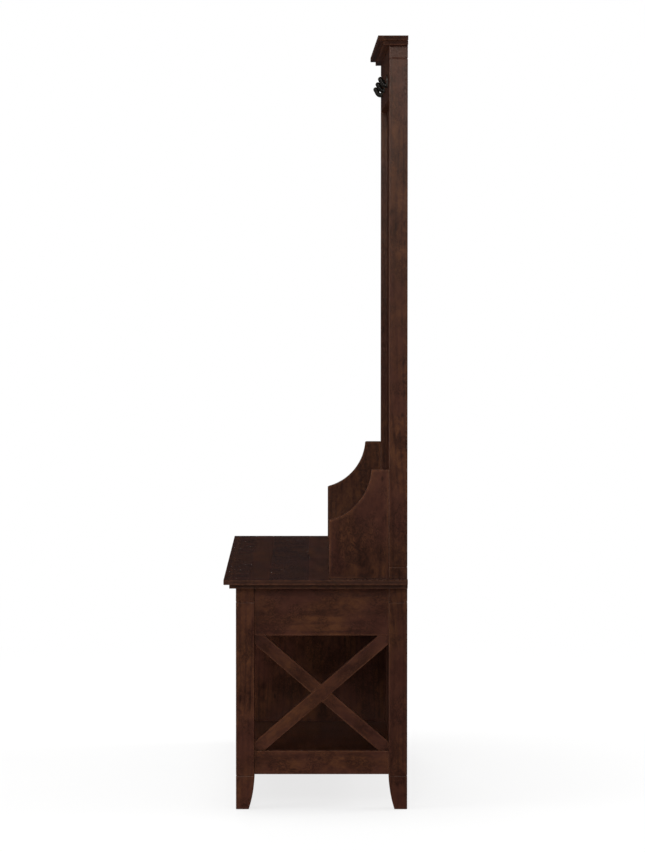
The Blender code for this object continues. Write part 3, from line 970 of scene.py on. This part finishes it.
def floor():
    """A pale floor that turns into the white surroundings a few metres out."""
    finish = Finish("pale_floor")
    ground = finish.where()
    away = finish.vector_math("LENGTH", ground, out="Value")
    mottle = finish.noise(ground, scale=3, detail=3)
    shade = finish.mix(mottle, (0.80, 0.80, 0.795, 1), (0.84, 0.84, 0.835, 1))
    finish.base(Base_Color=shade, Roughness=0.85, Specular_IOR_Level=0.1)
    body = Wire(finish, finish.shader.outputs["BSDF"])
    whiteness = finish.fade(away, WHITE_FROM, WHITE_AT, FLOOR_WHITENESS, 1.0)
    finish.show(finish.node("MixShader", {}, {0: whiteness, 1: body, 2: finish.white_glow()}))
    bm = bmesh.new()
    bmesh.ops.create_circle(bm, cap_ends=True, segments=96, radius=FLOOR_RADIUS)
    add_to_set("floor", bm, finish)


def backdrop():
    """White surroundings, as a studio's curved sheet gives. Only the camera sees them."""
    finish = Finish("white_sheet")
    finish.show(finish.white_glow())
    bm = bmesh.new()
    bmesh.ops.create_uvsphere(bm, u_segments=48, v_segments=24, radius=SHEET_RADIUS)
    add_to_set("backdrop", bm, finish)


def add_to_set(name, bm, finish):
    """A part of the studio, which neither lights nor shades the piece."""
    mesh = bpy.data.meshes.new(name)
    bm.to_mesh(mesh)
    bm.free()
    mesh.materials.append(finish.material)
    item = bpy.data.objects.new(name, mesh)
    bpy.context.scene.collection.objects.link(item)
    item.visible_glossy = False
    item.visible_diffuse = False
    item.visible_shadow = False


def soft_light(name, spot, aim, size, power, mirrored=True, colour=WHITE):
    """A round soft light. An unmirrored one is not seen in the gloss of the wood."""
    light = bpy.data.lights.new(name, "AREA")
    light.shape = "DISK"
    light.size = size
    light.energy = power
    light.color = colour
    item = bpy.data.objects.new(name, light)
    item.location = spot
    item.rotation_euler = (Vector(aim) - Vector(spot)).to_track_quat("-Z", "Y").to_euler()
    item.visible_camera = False
    item.visible_glossy = mirrored
    bpy.context.scene.collection.objects.link(item)


def surroundings():
    """White air and the soft lights round the piece, aimed at heights on its middle line."""
    world = bpy.data.worlds.new("white")
    world.use_nodes = True
    background = world.node_tree.nodes["Background"]
    background.inputs["Color"].default_value = opaque(WHITE)
    background.inputs["Strength"].default_value = WORLD_STRENGTH
    world.cycles_visibility.glossy = False
    bpy.context.scene.world = world
    bpy.context.scene.view_settings.view_transform = "Standard"
    chest, seat = (0, 0, 0.9), (0, 0, 0.5)
    soft_light("end_key", (5.3, -0.4, 2.7), chest, size=1.8, power=90)
    soft_light("far_end_key", (-5.3, -0.4, 2.7), chest, size=1.8, power=140, mirrored=False)
    soft_light("front_key", (1.8, -5.2, 1.3), seat, size=3.0, power=150)
    soft_light("back_fill", (-0.6, 5.5, 2.6), chest, size=3.0, power=210)
    soft_light("top", (0, -0.6, 4.4), (0, 0, 0.4), size=2.4, power=65, mirrored=False)
    soft_light("from_floor", (0.8, -1.2, -2.0), (0, 0, 1.2), size=3.0, power=100, mirrored=False)
    soft_light("far_glow", (-5.3, 0.1, 1.3), seat, size=2.4, power=0.42, colour=(0.88, 0.94, 1.0))


def camera():
    """A long lens well off the right-hand end, at standing eye height."""
    data = bpy.data.cameras.new("camera")
    data.sensor_width = 36
    data.lens = LENS
    data.shift_x, data.shift_y = SHIFT
    item = bpy.data.objects.new("camera", data)
    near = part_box("front_leg_right")[1].x
    item.location = (near + CAMERA_AWAY, 0, EYE_HEIGHT)
    item.rotation_euler = Euler((math.pi / 2 - CAMERA_TILT, 0, math.pi / 2))
    bpy.context.scene.collection.objects.link(item)
    bpy.context.scene.camera = item


legs()
posts()
rails()
braces()
bench_inside()
top_boards()
hutch_panel()
wings()
hooks()
plain_hardware()
floor()
backdrop()
surroundings()
camera()
